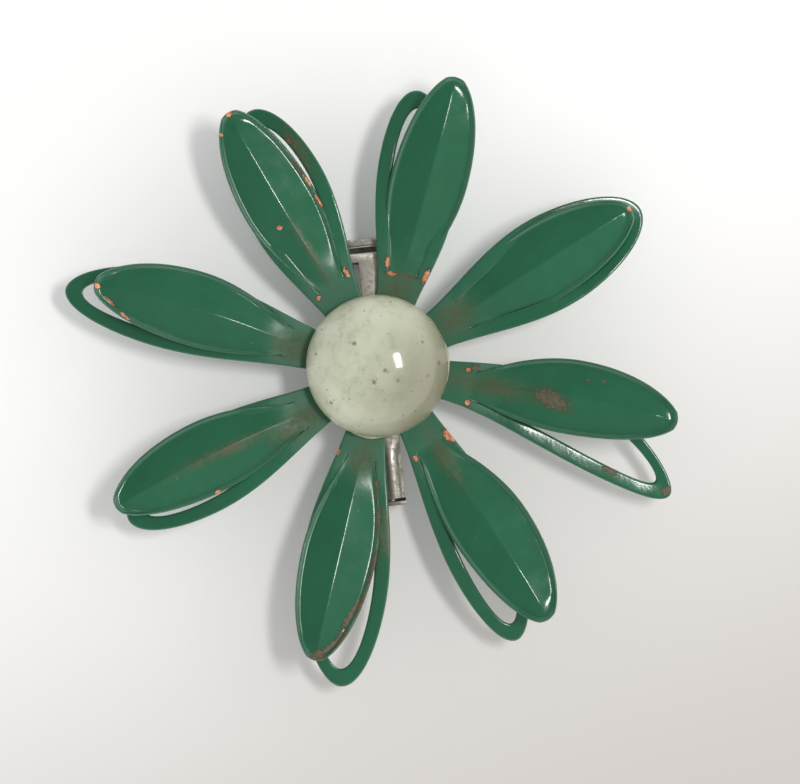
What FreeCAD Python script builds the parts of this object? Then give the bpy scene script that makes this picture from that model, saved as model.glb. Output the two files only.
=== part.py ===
import FreeCAD, Part
import math
import os
from FreeCAD import Placement, Rotation, Vector

# Flower hair clip. Millimetres, +Z up through the flower, +Y along the clip towards its finger pads.
# The origin lies on the clip's hair-side face, straight below the centre of the flower.

# Sheet stock and levels above the hair-side face
SHEET = 0.7             # enamelled flower sheet
STRIP = 0.5             # spring steel of the clip's arms
ARM_TOP = 5.5           # outer face of the upper arm, which the flower sits on
HUB_TOP = ARM_TOP + SHEET

# Flower
PETAL_COUNT = 8
FIRST_PETAL = 26.5      # degrees from +X to the axis of petal 1
HUB_RADIUS = 7.6
NECK_WIDTH = 4.9        # where a petal leaves the hub
NECK_LEVEL = 0.6        # how far a petal stays level past the hub
NECK_CLIMB = 0.09       # rise over run from there to the slits
RISE_CURVE = 1.4        # how late along a petal most of its climb comes: 1 is straight
HUB_OVERLAP = 1.0       # how far a petal is drawn into the hub before it is trimmed
SLIT_START = 12.0       # distance from the flower's centre to the ends of the two slits
BLADE_ROOT = 3.9        # width of the blade between the slits
LOOP_STRIP = 1.7        # width of the strip left round a blade
SLIT_GAP = 0.15         # clearance between a blade and the strip beside it

# Outline of a leaf: where it is widest, how it swells from its root, how blunt its tip is
BLADE_LEAF = {"peak": 0.48, "swell": 1.0, "nose": 2.1, "blunt": 0.62}
LOOP_LEAF = {"peak": 0.57, "swell": 1.4, "nose": 1.8, "blunt": 0.66}

# Each petal was bent by hand: (reach, width, side shift half way, side shift at the tip, tip height, arch)
# for its blade and for its loop. Side shifts are to the left of the petal's axis, seen from the hub.
PETALS = (
    ((37.2, 9.7, 0.0, -0.3, 9.0, 0.6), (38.5, 12.0, -0.4, -0.8, 5.9, 0.9)),
    ((37.4, 9.4, -0.9, -1.4, 10.2, 0.9), (35.2, 10.4, 0.3, 2.8, 5.7, 1.3)),
    ((37.1, 9.2, -0.2, -0.9, 10.0, 0.8), (36.3, 11.5, -1.1, -3.2, 5.6, 1.2)),
    ((37.4, 9.2, -1.9, -2.3, 9.4, 0.7), (41.3, 10.2, -1.2, -0.9, 5.0, 0.6)),
    ((37.7, 9.2, -2.0, -2.9, 8.8, 0.6), (37.6, 10.9, -0.7, -0.6, 5.2, 0.7)),
    ((37.9, 9.2, 0.0, -0.1, 9.8, 0.7), (40.9, 11.4, 1.0, 3.6, 5.3, 0.8)),
    ((38.2, 9.6, 0.9, 0.6, 10.0, 0.8), (38.7, 9.6, -1.3, -3.9, 5.4, 0.8)),
    ((37.9, 9.2, 1.4, 1.2, 10.2, 1.2), (39.5, 9.5, -1.4, -7.7, 5.3, -0.3)),
)
RIDGE = 0.9             # height of the ridge along a blade above its grooves
RIM = 0.35              # height of a blade's turned-up edge above its grooves
GROOVE_AT = 0.62        # where the grooves run, over half the blade's width
RELIEF_START = 0.3      # share of a blade's length over which its relief grows
SPARE = 1.2             # how far a blade's bent sheet is drawn past its outline before it is trimmed
PETAL_SPACE = 12.0      # and a loop's, each side of the petal's axis
TRIM_LOW, TRIM_HIGH = -5.0, 25.0    # levels that a trimming prism spans

# Centre
DOME_RADIUS = 9.0
DOME_HEIGHT = 6.9
DOME_GIRDLE = 0.35      # straight wall below the dome's curve
DOME_OFFSET = Vector(-0.45, 0.05, 0)
GLUE_RADIUS = 7.4
GLUE_THICKNESS = 0.45
RIVET_RADIUS = 0.8
RIVET_HEAD_RADIUS = 1.4
RIVET_HEAD = 0.35
GLUE_HOLE_RADIUS = 1.5

# Clip
ARM_WIDTH = 2.8
PAD_WIDTH = 7.0
PAD_START = 13.4
PAD_END = 16.3
PAD_BAR = 1.0           # diameter of the rolled bar at a pad's end
PAD_SLOT = (14.5, 15.25)            # in the upper pad only
PAD_SLOT_WIDTH = 5.2
PRONG_FLAT_END = -9.0   # the arms turn half-round from here
PRONG_ROUND_START = -11.5
PRONG_CROWN = 0.85      # how far a prong's edges turn in
UPPER_TIP = -16.9
LOWER_TIP = -17.8
LOWER_RISE_START = -3.5
JAW_GAP = 0.15          # between the closed prongs
LIP_HEIGHT = 0.75
LIP_STEP = 0.2          # how far the lip's foot stands above the prong's lower face

# Hinge
HINGE_Y = 4.0
HINGE_Z = 2.75
PIN_RADIUS = 0.5
PIN_HEAD_RADIUS = 0.8
PIN_HEAD = 0.25
EAR_RADIUS = 1.1
EAR = 0.4               # thickness of an ear
EAR_GAP = 0.1           # between an ear of one arm and the ear of the other beside it
UPPER_EAR_INNER = ARM_WIDTH / 2 - EAR
LOWER_EAR_INNER = ARM_WIDTH / 2 + EAR_GAP
FIXED_CLEARANCE = 0.02  # pin in the upper arm's ears
RUNNING_CLEARANCE = 0.05
COIL_RADIUS = 0.95
WIRE_RADIUS = 0.21
COIL_WIDTH = 1.45
COIL_TURNS = 3
LEG_ANGLE = 8.0         # degrees that a spring leg leans towards its arm
LEG_LENGTH = 7.0
LEG_STEP = 0.08         # hairline between the end of the coil and a leg


def fullness(t, root, leaf):
    """Half width over the greatest half width, a fraction t of the way from root to tip."""
    peak = leaf["peak"]
    if t < peak:
        return root + (1 - root) * math.sin(math.pi / 2 * t / peak) ** leaf["swell"]
    past = (t - peak) / (1 - peak)
    return max(0.0, 1 - past ** leaf["nose"]) ** leaf["blunt"]


def side_shift(t, middle, tip):
    """Sideways place of a bent centreline that passes 0, middle and tip at t = 0, 0.5 and 1."""
    return (4 * middle - tip) * t + (2 * tip - 4 * middle) * t * t


def rise(t, root, tip, arch):
    """Height of a petal's upper face: a smooth climb or fall with an arch on top."""
    return root + (tip - root) * t ** RISE_CURVE + arch * 4 * t * (1 - t)


def leaf_edges(start, reach, width, middle, tip, root_width, leaf, steps=9):
    """Left and right edge points of a leaf outline, from its root to just before its tip, and the tip."""
    left, right = [], []
    for step in range(steps):
        t = math.sin(math.pi / 2 * step / steps)
        half = width / 2 * fullness(t, root_width / width, leaf)
        u = start + (reach - start) * t
        v = side_shift(t, middle, tip)
        left.append(Vector(u, v + half, 0))
        right.append(Vector(u, v - half, 0))
    return left, right, Vector(reach, tip, 0)


def leaf_prism(left, right, tip):
    """Upright prism over a leaf outline."""
    curve = Part.BSplineCurve()
    curve.interpolate(left + [tip] + right[::-1])
    root = Part.LineSegment(right[0], left[0]).toShape()
    face = Part.Face(Part.Wire([curve.toShape(), root]))
    face.translate(Vector(0, 0, TRIM_LOW))
    return face.extrude(Vector(0, 0, TRIM_HIGH - TRIM_LOW))


def spline(points):
    curve = Part.BSplineCurve()
    curve.interpolate(points)
    return curve.toShape()


def band(stations, thickness):
    """Closed solid of bent sheet, lofted through rows of points across its upper face."""
    wires = []
    for row in stations:
        lower = [point - Vector(0, 0, thickness) for point in row]
        wires.append(Part.Wire([
            spline(row),
            Part.LineSegment(row[-1], lower[-1]).toShape(),
            spline(lower[::-1]),
            Part.LineSegment(lower[0], row[0]).toShape(),
        ]))
    return Part.makeLoft(wires, True, False)


def blade_sheet(blade, thickness, sink=0.0, margin=0.0):
    """A blade's bent sheet: a ridge along its middle, a groove each side, and turned-up edges."""
    reach, width, middle, tip, tip_height, arch = blade
    across = ((-1.0, RIM), (-GROOVE_AT, 0.0), (0.0, RIDGE), (GROOVE_AT, 0.0), (1.0, RIM))
    root_height = neck_height(SLIT_START)
    stations = []
    for t in (0.0, 0.15, 0.35, 0.6, 0.85, 1.1):
        u = SLIT_START + (reach - SLIT_START) * t
        half = width / 2 * max(0.5, fullness(min(t, 0.97), BLADE_ROOT / width, BLADE_LEAF)) + SPARE
        relief = min(1.0, t / RELIEF_START)
        v = side_shift(t, middle, tip)
        z = rise(t, root_height, tip_height, arch) - sink
        stations.append([Vector(u, v + half * at, z + relief * up) for at, up in across])
    sheet = band(stations, thickness)
    left, right, end = leaf_edges(SLIT_START, reach + margin, width + 2 * margin, middle, tip,
                                  BLADE_ROOT + 2 * margin, BLADE_LEAF)
    return sheet.common(leaf_prism(left, right, end))


def neck_height(u):
    """Upper face of a petal between the hub and its slits, the same on every petal."""
    return HUB_TOP + NECK_CLIMB * max(0.0, u - HUB_RADIUS - NECK_LEVEL)


def loop_sheet(loop):
    """The bent sheet that a petal's neck and loop are cut from, straight across and curved along."""
    reach, _, _, _, tip_height, arch = loop
    root_height = neck_height(SLIT_START)
    neck = (HUB_RADIUS - HUB_OVERLAP, HUB_RADIUS, SLIT_START)
    upper = [Vector(u, -PETAL_SPACE, neck_height(u)) for u in neck]
    for t in (0.25, 0.5, 0.75, 1.05):
        u = SLIT_START + (reach - SLIT_START) * t
        upper.append(Vector(u, -PETAL_SPACE, rise(t, root_height, tip_height, arch)))
    lower = [point - Vector(0, 0, SHEET) for point in upper]
    side = Part.Wire([
        spline(upper),
        Part.LineSegment(upper[-1], lower[-1]).toShape(),
        spline(lower[::-1]),
        Part.LineSegment(lower[0], upper[0]).toShape(),
    ])
    return Part.Face(side).extrude(Vector(0, 2 * PETAL_SPACE, 0))


def loop_opening(loop):
    """The space that the blade was sheared out of, inside the loop's strip."""
    reach, width, middle, tip, _, _ = loop
    length = reach - HUB_RADIUS
    start = (SLIT_START - HUB_RADIUS) / length
    inner_reach = reach - LOOP_STRIP
    inner_width = width - 2 * LOOP_STRIP
    left, right = [], []
    steps = 9
    for step in range(steps):
        t = math.sin(math.pi / 2 * step / steps)
        u = SLIT_START + (inner_reach - SLIT_START) * t
        v = side_shift((u - HUB_RADIUS) / length, middle, tip)
        root = min(0.95, (BLADE_ROOT + 2 * SLIT_GAP) / inner_width)
        half = inner_width / 2 * fullness(t, root, LOOP_LEAF)
        left.append(Vector(u, v + half, 0))
        right.append(Vector(u, v - half, 0))
    end = Vector(inner_reach, side_shift((inner_reach - HUB_RADIUS) / length, middle, tip), 0)
    return leaf_prism(left, right, end)


def petal(index):
    """The frame (neck and loop) and the blade of one petal, turned to their place."""
    blade, loop = PETALS[index]
    reach, width, middle, tip, _, _ = loop
    left, right, end = leaf_edges(HUB_RADIUS - HUB_OVERLAP, reach, width, middle, tip, NECK_WIDTH, LOOP_LEAF)
    frame = loop_sheet(loop).common(leaf_prism(left, right, end))
    frame = frame.cut(loop_opening(loop))
    frame = frame.cut(Part.makeCylinder(HUB_RADIUS, TRIM_HIGH - TRIM_LOW, Vector(0, 0, TRIM_LOW)))
    tongue = blade_sheet(blade, SHEET)
    frame = frame.cut(blade_sheet(blade, SHEET + 2 * SLIT_GAP, -SLIT_GAP, SLIT_GAP))
    turn = Placement(Vector(), Rotation(Vector(0, 0, 1), FIRST_PETAL + index * 360 / PETAL_COUNT))
    return frame.transformGeometry(turn.toMatrix()), tongue.transformGeometry(turn.toMatrix())


def flower_hub():
    """Flat centre of the stamping, with the rivet's hole."""
    disc = Part.makeCylinder(HUB_RADIUS, SHEET, Vector(0, 0, ARM_TOP))
    return disc.cut(Part.makeCylinder(RIVET_RADIUS, SHEET, Vector(0, 0, ARM_TOP)))


def dome():
    """Domed cabochon: a short girdle under a rounded cap."""
    base = HUB_TOP + GLUE_THICKNESS
    girdle_top = base + DOME_GIRDLE
    crown = base + DOME_HEIGHT
    shoulder = math.sqrt(0.5)
    middle = Vector(DOME_RADIUS * shoulder, 0, girdle_top + (crown - girdle_top) * shoulder)
    profile = Part.BSplineCurve()
    profile.interpolate(Points=[Vector(DOME_RADIUS, 0, girdle_top), middle, Vector(0, 0, crown)],
                        InitialTangent=Vector(0, 0, 1), FinalTangent=Vector(-1, 0, 0))
    outline = Part.Wire([
        Part.LineSegment(Vector(0, 0, base), Vector(DOME_RADIUS, 0, base)).toShape(),
        Part.LineSegment(Vector(DOME_RADIUS, 0, base), Vector(DOME_RADIUS, 0, girdle_top)).toShape(),
        profile.toShape(),
        Part.LineSegment(Vector(0, 0, crown), Vector(0, 0, base)).toShape(),
    ])
    solid = Part.Face(outline).revolve(Vector(), Vector(0, 0, 1), 360)
    solid.translate(DOME_OFFSET)
    return solid


def dome_adhesive():
    """Layer of glue between the hub and the dome, round the rivet's head."""
    disc = Part.makeCylinder(GLUE_RADIUS, GLUE_THICKNESS, Vector(0, 0, HUB_TOP))
    return disc.cut(Part.makeCylinder(GLUE_HOLE_RADIUS, GLUE_THICKNESS, Vector(0, 0, HUB_TOP)))


def rivet():
    """Rivet that holds the flower on the upper arm."""
    bottom = ARM_TOP - STRIP
    shank = Part.makeCylinder(RIVET_RADIUS, HUB_TOP - bottom, Vector(0, 0, bottom))
    head = Part.makeCylinder(RIVET_HEAD_RADIUS, RIVET_HEAD, Vector(0, 0, HUB_TOP))
    tail = Part.makeCylinder(RIVET_HEAD_RADIUS, RIVET_HEAD, Vector(0, 0, bottom - RIVET_HEAD))
    return shank.fuse(head).fuse(tail).removeSplitter()


def arm_row(y, top, crown):
    """Points across an arm's upper face; a positive crown turns the edges down, a negative one up."""
    row = []
    for at in (-1.0, -0.6, 0.0, 0.6, 1.0):
        row.append(Vector(at * ARM_WIDTH / 2, y, top - crown * at * at))
    return row


def pad(level, bar_level):
    """Finger pad: a cross plate that ends in a rolled bar."""
    plate = Part.makeBox(PAD_WIDTH, PAD_END - PAD_BAR / 2 - PAD_START, STRIP,
                         Vector(-PAD_WIDTH / 2, PAD_START, level))
    bar = Part.makeCylinder(PAD_BAR / 2, PAD_WIDTH, Vector(-PAD_WIDTH / 2, PAD_END - PAD_BAR / 2, bar_level),
                            Vector(1, 0, 0))
    return plate.fuse(bar)


def pad_slot():
    """Slot across the upper pad, beside its bar."""
    return Part.makeBox(PAD_SLOT_WIDTH, PAD_SLOT[1] - PAD_SLOT[0], 3 * STRIP,
                        Vector(-PAD_SLOT_WIDTH / 2, PAD_SLOT[0], ARM_TOP - 2 * STRIP))


def ears(inner, foot, bore_radius):
    """A pair of hinge ears, from the level of an arm to the pin."""
    low = min(foot, HINGE_Z)
    height = abs(foot - HINGE_Z)
    solids = []
    for side in (-1, 1):
        start = inner if side > 0 else -inner - EAR
        cheek = Part.makeBox(EAR, 2 * EAR_RADIUS, height, Vector(start, HINGE_Y - EAR_RADIUS, low))
        round_end = Part.makeCylinder(EAR_RADIUS, EAR, Vector(start, HINGE_Y, HINGE_Z), Vector(1, 0, 0))
        bore = Part.makeCylinder(bore_radius, EAR, Vector(start, HINGE_Y, HINGE_Z), Vector(1, 0, 0))
        solids.append(cheek.fuse(round_end).cut(bore))
    return solids


def clip_upper_arm():
    """Arm that carries the flower: finger pad, hinge ears and a half-round prong."""
    flat = Part.makeBox(ARM_WIDTH, PAD_START - PRONG_FLAT_END, STRIP,
                        Vector(-ARM_WIDTH / 2, PRONG_FLAT_END, ARM_TOP - STRIP))
    bend = band([arm_row(PRONG_FLAT_END, ARM_TOP, 0.0),
                 arm_row((PRONG_FLAT_END + PRONG_ROUND_START) / 2, ARM_TOP, PRONG_CROWN / 2),
                 arm_row(PRONG_ROUND_START, ARM_TOP, PRONG_CROWN)], STRIP)
    prong = band([arm_row(PRONG_ROUND_START, ARM_TOP, PRONG_CROWN),
                  arm_row(UPPER_TIP, ARM_TOP, PRONG_CROWN)], STRIP)
    arm = flat.fuse([bend, prong, pad(ARM_TOP - STRIP, ARM_TOP - STRIP / 2)]).cut(pad_slot())
    arm = arm.fuse(ears(UPPER_EAR_INNER, ARM_TOP - STRIP / 2, PIN_RADIUS + FIXED_CLEARANCE))
    return arm.cut(Part.makeCylinder(RIVET_RADIUS, STRIP, Vector(0, 0, ARM_TOP - STRIP))).removeSplitter()


def clip_lower_arm():
    """Hair-side arm: flat foot, hinge ears, finger pad, and a prong that rises to meet the upper one."""
    prong_top = ARM_TOP - STRIP - PRONG_CROWN - JAW_GAP - PRONG_CROWN
    flat = Part.makeBox(ARM_WIDTH, PAD_START - LOWER_RISE_START, STRIP,
                        Vector(-ARM_WIDTH / 2, LOWER_RISE_START, 0))
    saddle_half = LOWER_EAR_INNER + EAR
    saddle = Part.makeBox(2 * saddle_half, 2 * EAR_RADIUS, STRIP,
                          Vector(-saddle_half, HINGE_Y - EAR_RADIUS, 0))
    climb = prong_top - STRIP
    span = PRONG_ROUND_START - LOWER_RISE_START
    rows = []
    for t in (0.0, 0.2, 0.4, 0.6, 0.8, 1.0):
        ease = t * t * (3 - 2 * t)
        rows.append(arm_row(LOWER_RISE_START + span * t, STRIP + climb * ease, -PRONG_CROWN * t * t))
    ramp = band(rows, STRIP)
    prong = band([arm_row(PRONG_ROUND_START, prong_top, -PRONG_CROWN),
                  arm_row(LOWER_TIP + STRIP, prong_top, -PRONG_CROWN)], STRIP)
    lip = Part.makeBox(ARM_WIDTH, STRIP, STRIP + PRONG_CROWN + LIP_HEIGHT,
                       Vector(-ARM_WIDTH / 2, LOWER_TIP, prong_top - STRIP + LIP_STEP))
    arm = flat.fuse([saddle, ramp, prong, lip, pad(0.0, PAD_BAR / 2)])
    return arm.fuse(ears(LOWER_EAR_INNER, 0.0, PIN_RADIUS + RUNNING_CLEARANCE)).removeSplitter()


def hinge_pin():
    """Headed pin through the four ears."""
    half = LOWER_EAR_INNER + EAR + EAR_GAP / 2
    axis = Vector(1, 0, 0)
    shank = Part.makeCylinder(PIN_RADIUS, 2 * half, Vector(-half, HINGE_Y, HINGE_Z), axis)
    heads = [Part.makeCylinder(PIN_HEAD_RADIUS, PIN_HEAD, Vector(start, HINGE_Y, HINGE_Z), axis)
             for start in (-half - PIN_HEAD, half)]
    return shank.fuse(heads).removeSplitter()


def torsion_spring():
    """Coil round the pin, with a leg along each arm towards the finger pads."""
    start_angle = 90 + LEG_ANGLE
    sweep = 360 * COIL_TURNS + 180 - 2 * LEG_ANGLE
    pitch = COIL_WIDTH / (sweep / 360)
    helix = Part.makeHelix(pitch, COIL_WIDTH, COIL_RADIUS)
    # the helix winds about +Z from +X: lay its axis along +X, then turn its start to the upper leg
    lay = Rotation(Vector(0, 1, 0), 90)
    turn = Rotation(Vector(1, 0, 0), start_angle + 90)
    helix.Placement = Placement(Vector(-COIL_WIDTH / 2, HINGE_Y, HINGE_Z), turn * lay)
    path = Part.Wire(helix.Edges)
    first = path.Edges[0]
    start = first.valueAt(first.FirstParameter)
    tangent = first.tangentAt(first.FirstParameter)
    profile = Part.Wire(Part.makeCircle(WIRE_RADIUS, start, tangent))
    coil = path.makePipeShell([profile], True, True)
    last = path.Edges[-1]
    end = last.valueAt(last.LastParameter)
    lean = math.radians(LEG_ANGLE)
    legs = []
    for root, slope in ((start, 1), (end, -1)):
        along = Vector(0, math.cos(lean), slope * math.sin(lean))
        legs.append(Part.makeCylinder(WIRE_RADIUS, LEG_LENGTH, root + along * LEG_STEP, along))
    return Part.makeCompound([coil] + legs)


def export(name, shape):
    """Write one node, and print its volume, so that an empty or open solid shows at once."""
    box = shape.BoundBox
    print(f"{name}: solids {len(shape.Solids)}, valid {shape.isValid()}, volume {shape.Volume:.2f}, "
          f"z {box.ZMin:.2f} to {box.ZMax:.2f}")
    shape.exportStep(f"parts/{name}.step")


os.makedirs("parts", exist_ok=True)
export("flower_hub", flower_hub())
for number in range(PETAL_COUNT):
    frame_solid, blade_solid = petal(number)
    export(f"petal_frame_{number + 1}", frame_solid)
    export(f"petal_blade_{number + 1}", blade_solid)
export("dome", dome())
export("dome_adhesive", dome_adhesive())
export("rivet", rivet())
export("clip_upper_arm", clip_upper_arm())
export("clip_lower_arm", clip_lower_arm())
export("hinge_pin", hinge_pin())
export("torsion_spring", torsion_spring())
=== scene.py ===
import math
from collections import namedtuple

import bmesh
import bpy
import numpy as np
from mathutils import Matrix, Vector, noise


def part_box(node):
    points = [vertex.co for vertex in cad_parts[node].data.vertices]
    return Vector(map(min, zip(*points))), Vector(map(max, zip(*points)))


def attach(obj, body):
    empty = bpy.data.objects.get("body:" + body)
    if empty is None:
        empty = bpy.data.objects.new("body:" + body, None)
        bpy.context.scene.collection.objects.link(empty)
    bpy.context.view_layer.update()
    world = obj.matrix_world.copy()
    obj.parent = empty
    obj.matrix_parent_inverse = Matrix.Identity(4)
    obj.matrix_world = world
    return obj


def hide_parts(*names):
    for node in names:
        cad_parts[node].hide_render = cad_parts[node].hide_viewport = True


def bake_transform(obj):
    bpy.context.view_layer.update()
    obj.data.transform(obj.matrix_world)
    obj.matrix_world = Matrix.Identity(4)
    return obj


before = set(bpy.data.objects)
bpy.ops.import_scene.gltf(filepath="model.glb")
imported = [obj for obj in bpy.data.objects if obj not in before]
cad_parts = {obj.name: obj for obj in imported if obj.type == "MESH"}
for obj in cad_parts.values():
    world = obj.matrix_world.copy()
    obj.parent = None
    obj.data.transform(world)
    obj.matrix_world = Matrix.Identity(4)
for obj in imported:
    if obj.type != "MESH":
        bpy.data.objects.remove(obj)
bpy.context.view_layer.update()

# An enamelled flower on a sprung hair clip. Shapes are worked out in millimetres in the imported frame:
# +Z up through the flower, +Y along the clip towards its finger pads, origin below the flower's centre.

MM = 0.001
HUB_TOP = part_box("flower_hub")[1].z / MM
HUB_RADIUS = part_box("flower_hub")[1].x / MM

# The flower sheet. Petals are numbered counter-clockwise from the one that points between +X and +Y.
PETAL_COUNT = 8
FIRST_PETAL = 26.5      # degrees from +X
COAT = 0.52             # thickness of the enamelled sheet
EDGE_LEAN = 0.26        # how far a turned-up edge leans outwards on its way down

NECK_WIDTH = 4.9
NECK_LEVEL = 0.6        # how far past the hub the neck stays level
NECK_CLIMB = 0.09       # its rise over run from there
NECK_ROWS = (6.6, 7.6, 8.6, 9.5, 10.3, 11.0, 11.6)

SLIT_START = 12.0       # where the slits that free the blade begin
SLIT_HALF = 1.72        # half width of the blade between the slits
SLIT_GAP = 0.14

LOOP_STRIP = 2.0        # width of the strip along the sides of a loop
LOOP_END_STRIP = 2.3    # its width round the tip
STRIP_CROWN = 0.03
STRIP_BANK = (0.35, 0.0, 0.0, 0.0, 0.0, 0.0, 0.0, 0.12)     # how far each loop's outer edge is turned up
LOOP_STEPS = 26         # rows of points along each side of a loop
LOOP_COLUMNS = (0.0, 0.22, 0.5, 0.78, 1.0)                  # from the outer edge to the inner one

TIP_ARC = 0.26          # how far a blade's round tip bows out past the ends of its last row
TIP_ROOM = 1.7          # how many such bows those ends lie short of the blade's reach
BOW_START = 0.72        # share of the blade's length from which its rows begin to bow
BLADE_STEPS = 34
BLADE_COLUMNS = (-1.0, -0.96, -0.92, -0.87, -0.8, -0.62, -0.34, -0.06, 0.0,
                 0.06, 0.34, 0.62, 0.8, 0.87, 0.92, 0.96, 1.0)

BLADE_LEAF = {"peak": 0.48, "swell": 1.0, "nose": 2.1, "blunt": 0.58}
LOOP_LEAF = {"peak": 0.57, "swell": 1.4, "nose": 1.8, "blunt": 0.52}

# How each petal was bent: its blade and its loop. Side shifts of the centreline, half way and at the tip,
# are to the left of the petal's axis, seen from the hub.
Leaf = namedtuple("Leaf", "reach width middle_shift tip_shift tip_height arch")
PETALS = (
    (Leaf(37.2, 9.7, 0.0, -0.3, 9.0, 0.6), Leaf(38.5, 12.0, -0.4, -0.8, 5.9, 0.9)),
    (Leaf(37.4, 9.4, -0.9, -1.4, 10.2, 0.9), Leaf(35.2, 10.4, 0.3, 2.8, 5.7, 1.3)),
    (Leaf(37.1, 9.2, -0.2, -0.9, 10.0, 0.8), Leaf(36.3, 11.5, -1.1, -3.2, 5.6, 1.2)),
    (Leaf(37.4, 9.2, -1.9, -2.3, 9.4, 0.7), Leaf(41.3, 10.2, -1.2, -0.9, 5.0, 0.6)),
    (Leaf(37.7, 9.2, -2.0, -2.9, 8.8, 0.6), Leaf(37.6, 10.9, -0.7, -0.6, 5.2, 0.7)),
    (Leaf(37.9, 9.2, 0.0, -0.1, 9.8, 0.7), Leaf(40.9, 11.4, 1.0, 3.6, 5.3, 0.8)),
    (Leaf(38.2, 9.6, 0.9, 0.6, 10.0, 0.8), Leaf(38.7, 9.6, -1.3, -3.9, 5.4, 0.8)),
    (Leaf(37.9, 9.2, 1.4, 1.2, 10.2, 1.2), Leaf(39.5, 9.5, -1.4, -7.7, 5.3, -0.3)),
)

# A blade's face: two slopes that meet at a ridge, a groove along each edge and a turned-up rim. Starts and
# ends are distances from the slits' ends, or before the tip, over which a shape grows or dies out.
ROOF_SLOPE = 0.34       # rise over run of the two slopes, from the grooves up to the ridge
ROOF_START = 4.5
ROOF_END = 2.5
ROOF_SINK = 0.45        # share of its height by which the roof is lowered, so that its mean stays level
SINK_START = 4.0
GROOVE_INSET = 0.55     # how far the grooves run inside the edge
RIM = 0.34              # height of the turned-up edge above the grooves
RIM_START = 5.0
DENT_SIZE = 6.0         # soft dents that hand work leaves in thin sheet
LOOP_DENT = 0.12
BLADE_DENT = 0.16

# Places where the enamel has gone, for each petal in its own millimetres: (kind, along, side, half length,
# half width, turn in degrees). Kinds: "bare" shows copper, "rust" is brown, "stain" is olive tarnish.
WEAR = {
    1: (("bare", 36.9, -0.2, 0.35, 0.35, 0), ("stain", 11.0, 0.2, 3.0, 1.8, 0)),
    2: (("bare", 13.0, 2.0, 0.75, 0.28, 8), ("bare", 12.3, -3.1, 1.0, 0.32, -12),
        ("bare", 11.7, 1.2, 0.25, 0.7, 0), ("rust", 11.8, -0.5, 0.16, 1.9, 0),
        ("stain", 10.0, 0.0, 1.8, 2.4, 0)),
    3: (("bare", 12.3, -2.7, 0.7, 0.3, 0), ("bare", 11.5, 2.0, 0.35, 0.3, 0),
        ("bare", 21.5, 1.4, 0.4, 0.3, 40), ("bare", 21.8, -4.6, 0.9, 0.18, 0),
        ("bare", 24.6, -4.75, 0.9, 0.2, 0), ("bare", 35.2, 1.35, 0.35, 0.2, 30),
        ("bare", 36.9, -0.9, 0.4, 0.4, 0), ("rust", 26.5, -4.6, 1.3, 0.25, 0),
        ("rust", 30.3, -5.6, 0.5, 0.35, 0), ("stain", 17.0, -0.3, 4.5, 0.5, 0),
        ("stain", 28.5, -5.9, 3.4, 0.9, 0)),
    4: (("bare", 32.7, 0.85, 0.9, 0.16, -25), ("bare", 34.9, -0.55, 0.9, 0.14, -33),
        ("bare", 36.9, -2.1, 0.4, 0.35, 0), ("stain", 11.5, 0.0, 2.5, 1.8, 0)),
    5: (("bare", 25.9, 2.4, 0.4, 0.3, 0), ("stain", 12.5, 0.5, 4.0, 1.4, 0),
        ("stain", 22.0, -1.5, 6.5, 0.8, -8)),
    6: (("bare", 11.8, -3.0, 0.45, 0.3, 0), ("rust", 15.4, 2.9, 1.4, 0.25, 12),
        ("rust", 19.1, 4.0, 1.8, 0.25, 10), ("rust", 25.0, 4.5, 2.6, 0.35, -4),
        ("rust", 30.5, 3.6, 3.6, 0.42, -22), ("rust", 35.3, 1.9, 2.0, 0.35, -38),
        ("rust", 37.3, 0.2, 0.9, 0.8, 0), ("stain", 12.0, 0.3, 2.5, 1.6, 0),
        ("stain", 20.5, 5.3, 3.5, 0.9, 8)),
    7: (("bare", 12.1, 2.5, 1.0, 0.45, 12), ("bare", 12.3, -2.6, 0.4, 0.3, 0),
        ("stain", 14.0, 0.6, 4.0, 1.0, 0)),
    8: (("bare", 11.0, 1.9, 0.35, 0.28, 0), ("bare", 11.7, -2.2, 0.35, 0.4, 0),
        ("rust", 11.4, 2.3, 0.8, 0.3, 20), ("rust", 21.9, 0.5, 2.3, 1.0, -15),
        ("rust", 25.9, 3.8, 0.3, 0.25, 0), ("rust", 27.9, 4.2, 0.25, 0.25, 0),
        ("rust", 31.3, -6.7, 1.2, 0.35, -15), ("rust", 38.9, -7.6, 0.6, 0.5, 0),
        ("stain", 14.0, 0.5, 5.5, 1.3, 0)),
}


# Shapes of the sheet

def fullness(t, root, leaf):
    """Half width over the greatest half width, a fraction t of the way from root to tip."""
    peak = leaf["peak"]
    if t < peak:
        return root + (1 - root) * math.sin(math.pi / 2 * max(t, 0.0) / peak) ** leaf["swell"]
    past = min(1.0, (t - peak) / (1 - peak))
    return (1 - past ** leaf["nose"]) ** leaf["blunt"]


def side_shift(t, middle, tip):
    """Sideways place of a bent centreline that passes 0, middle and tip at t = 0, 0.5 and 1."""
    return (4 * middle - tip) * t + (2 * tip - 4 * middle) * t * t


def rise(t, root, tip, arch):
    return root + (tip - root) * max(t, 0.0) ** 1.4 + arch * 4 * t * (1 - t)


def neck_height(u):
    return HUB_TOP + NECK_CLIMB * max(0.0, u - HUB_RADIUS - NECK_LEVEL)


def ease(x):
    x = min(1.0, max(0.0, x))
    return x * x * (3 - 2 * x)


def dent(u, v, seed):
    """Depth of the soft dents at a place, -1 to 1."""
    return noise.noise(Vector((u / DENT_SIZE, v / DENT_SIZE, seed * 7.3)))


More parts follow.
